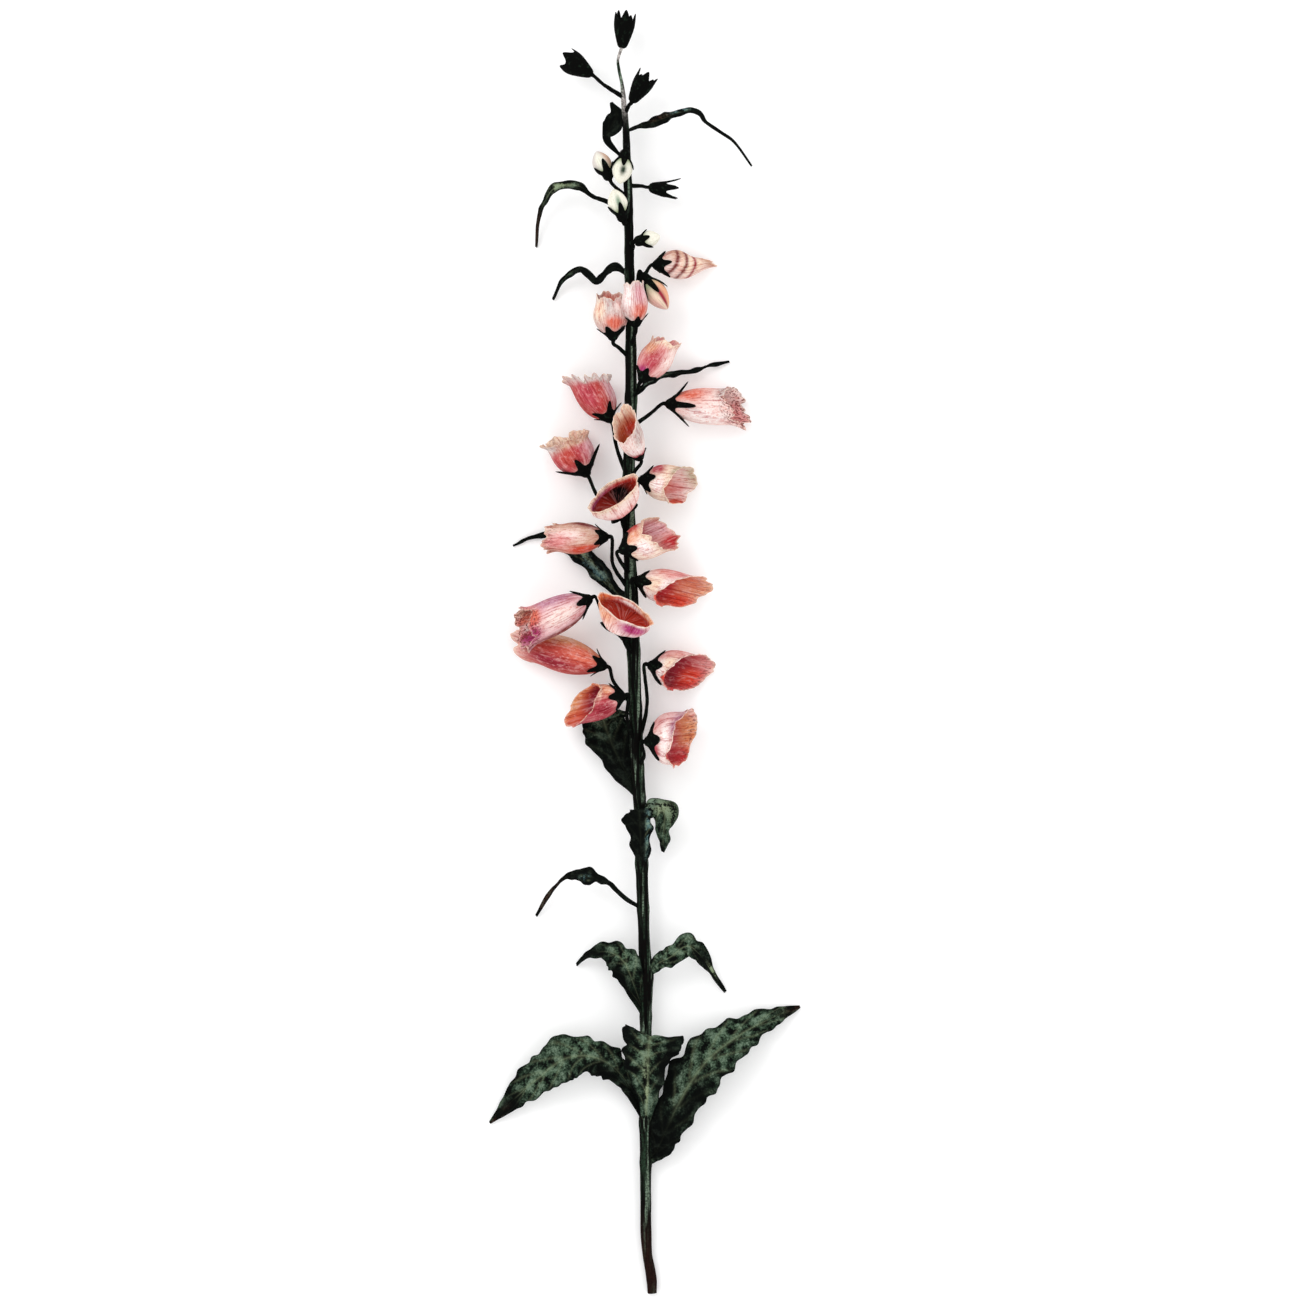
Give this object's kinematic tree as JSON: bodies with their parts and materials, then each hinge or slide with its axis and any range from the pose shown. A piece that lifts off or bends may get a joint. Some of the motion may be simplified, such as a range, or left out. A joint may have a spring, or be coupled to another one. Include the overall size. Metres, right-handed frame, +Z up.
{
  "type": "foxglove flower spike",
  "caption": "Cut foxglove spike lying on its side: slim stem with wrinkled leaves, nodding pink bells in dark calyxes, and small buds and open calyxes towards the tip.",
  "frame": {"origin": "on the surface the spike lies on, under the middle of its outline", "axes": "+Y along the stem towards the tip of the spike, +Z up from the surface towards the side that is seen, +X to the right of the stem seen from above"},
  "size_m": [0.1821, 0.7471, 0.0607],
  "materials": {
    "stem": "fibrous green stalk, matte with a soft sheen, brown at the cut end",
    "leaf": "wrinkled, veined dark green blade with grey-green highlights",
    "calyx": "very dark green sepals and stalks, matte",
    "petal": "thin soft petal, pale pink and cream outside, rose to coral in the shade and the throat",
    "bud": "cream-white closed bud in dark sepals"
  },
  "bodies": {
    "root": {"main_stem": "stem", "leaf_low_right": "leaf", "leaf_low_left": "leaf", "leaf_low_front": "leaf", "leaf_mid_right": "leaf", "leaf_mid_left": "leaf", "leaf_thin_left": "leaf", "leaf_clasping_front": "leaf", "leaf_curled_right": "leaf", "leaf_broad_left": "leaf", "leaf_behind_left": "leaf", "leaf_thin_right": "leaf", "leaf_wavy_left": "leaf", "leaf_arched_left": "leaf", "leaf_arched_right": "leaf", "corolla_a01": "petal", "calyx_a01": "calyx", "corolla_a02": "petal", "calyx_a02": "calyx", "corolla_a03": "petal", "calyx_a03": "calyx", "corolla_a04": "petal", "calyx_a04": "calyx", "corolla_a05": "petal", "calyx_a05": "calyx", "corolla_a06": "petal", "calyx_a06": "calyx", "corolla_a07": "petal", "calyx_a07": "calyx", "corolla_a08": "petal", "calyx_a08": "calyx", "corolla_a09": "petal", "calyx_a09": "calyx", "corolla_a10": "petal", "calyx_a10": "calyx", "corolla_a11": "petal", "calyx_a11": "calyx", "corolla_a12": "petal", "calyx_a12": "calyx", "corolla_a13": "petal", "calyx_a13": "calyx", "corolla_a14": "petal", "calyx_a14": "calyx", "corolla_a15": "petal", "calyx_a15": "calyx", "corolla_a16": "petal", "calyx_a16": "calyx", "corolla_a17": "petal", "calyx_a17": "calyx", "corolla_a18": "petal", "calyx_a18": "calyx", "corolla_young": "petal", "bud_top_left_cup": "calyx", "bud_top_right_cup": "calyx", "bud_side_left": "bud", "bud_front_high": "bud", "bud_front_low": "bud", "bud_side_right_cup": "calyx", "bud_small_right": "bud", "bud_half_open": "bud"}
  },
  "joints": []
}
